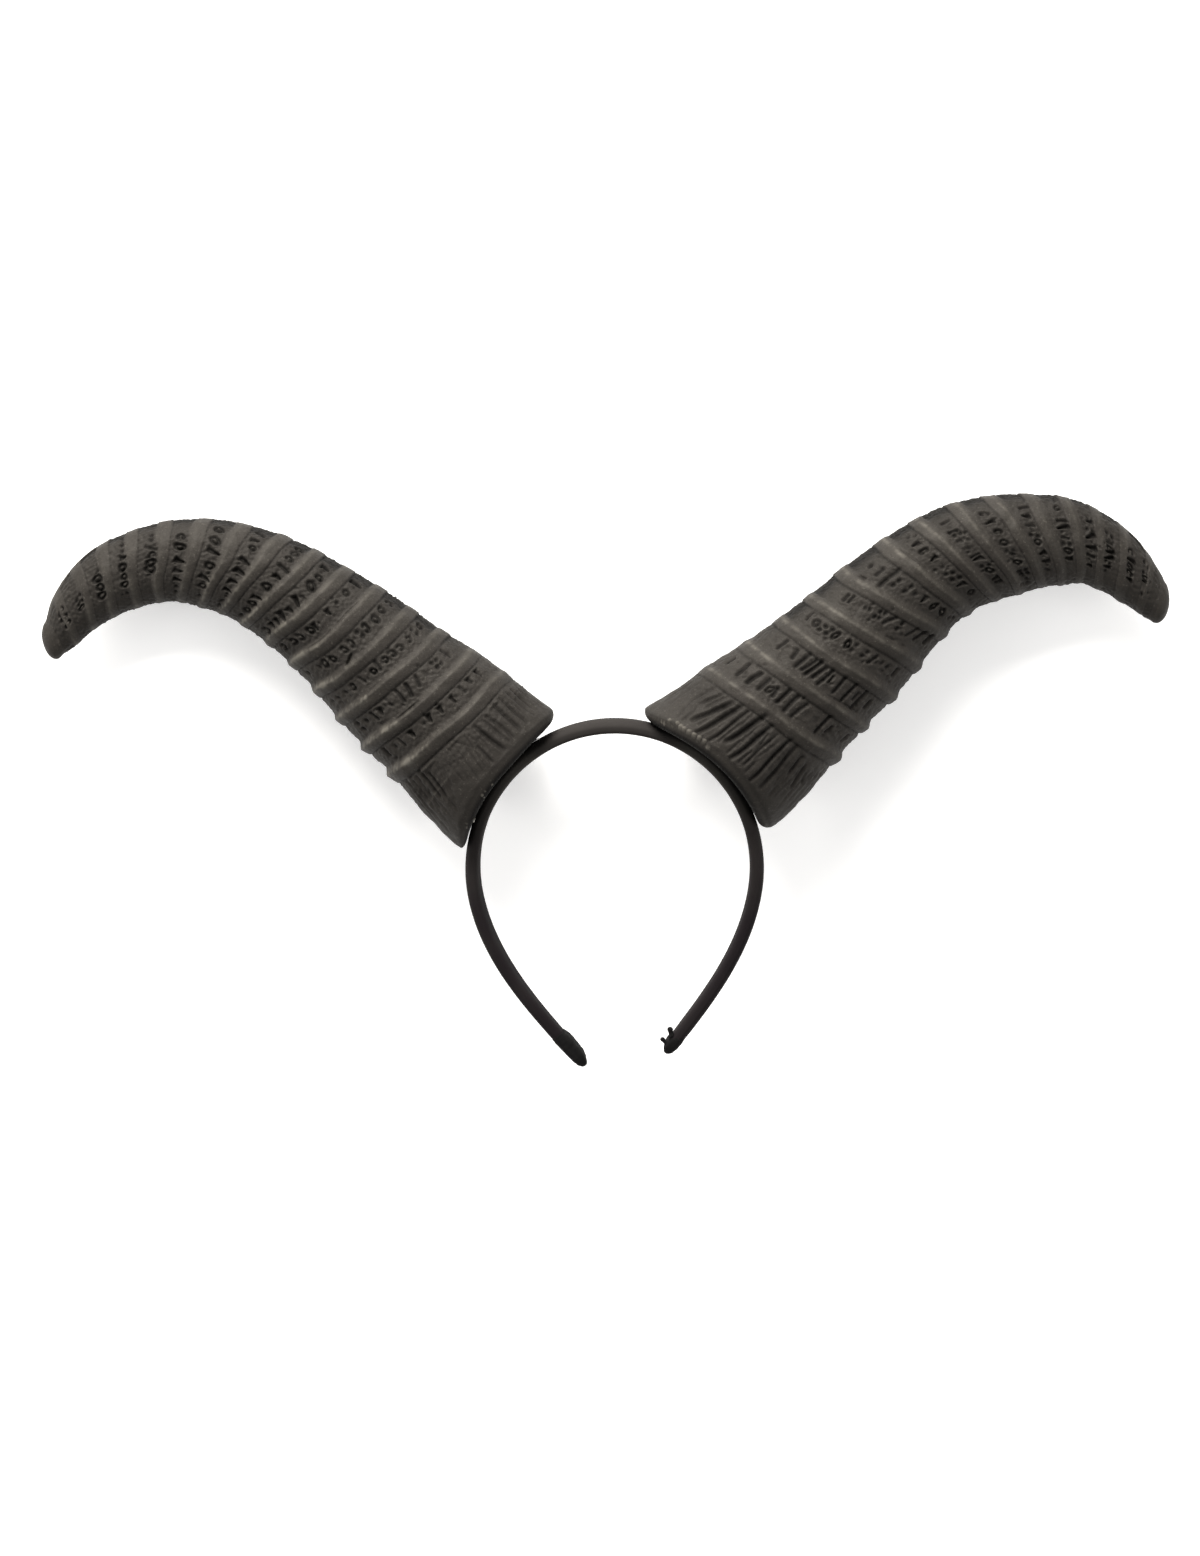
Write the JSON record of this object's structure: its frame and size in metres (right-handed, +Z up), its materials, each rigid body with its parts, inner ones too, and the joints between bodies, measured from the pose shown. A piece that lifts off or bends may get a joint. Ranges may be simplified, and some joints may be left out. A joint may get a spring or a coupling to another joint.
{
  "type": "horned headband",
  "caption": "Costume headband: a cloth-covered springy strip that clips over the crown of the head and carries ribbed, curved foam horns that sweep up and out to blunt tips.",
  "frame": {"origin": "on the surface, under the middle of the bounding box of the part as it lies on the backs of its horns", "axes": "+X across the span of the horns to the viewer's right, +Y from the leg ends towards the crown and the horns, +Z up, out of the front of the horns"},
  "size_m": [0.4718, 0.2384, 0.0573],
  "materials": {
    "band_cloth": "dark grey-black satin cloth, matte with a faint sheen",
    "tab_cloth": "the same cloth turned in, matte",
    "glue": "milky hot-melt glue, half gloss",
    "horn_foam": "dark grey-brown moulded foam skin, satin, lighter on the raised edges"
  },
  "bodies": {
    "root": {"headband": "band_cloth", "left_end_tab": "tab_cloth", "right_end_tab": "tab_cloth", "left_glue_bead": "glue", "right_glue_bead": "glue", "left_horn": "horn_foam", "right_horn": "horn_foam"}
  },
  "joints": []
}
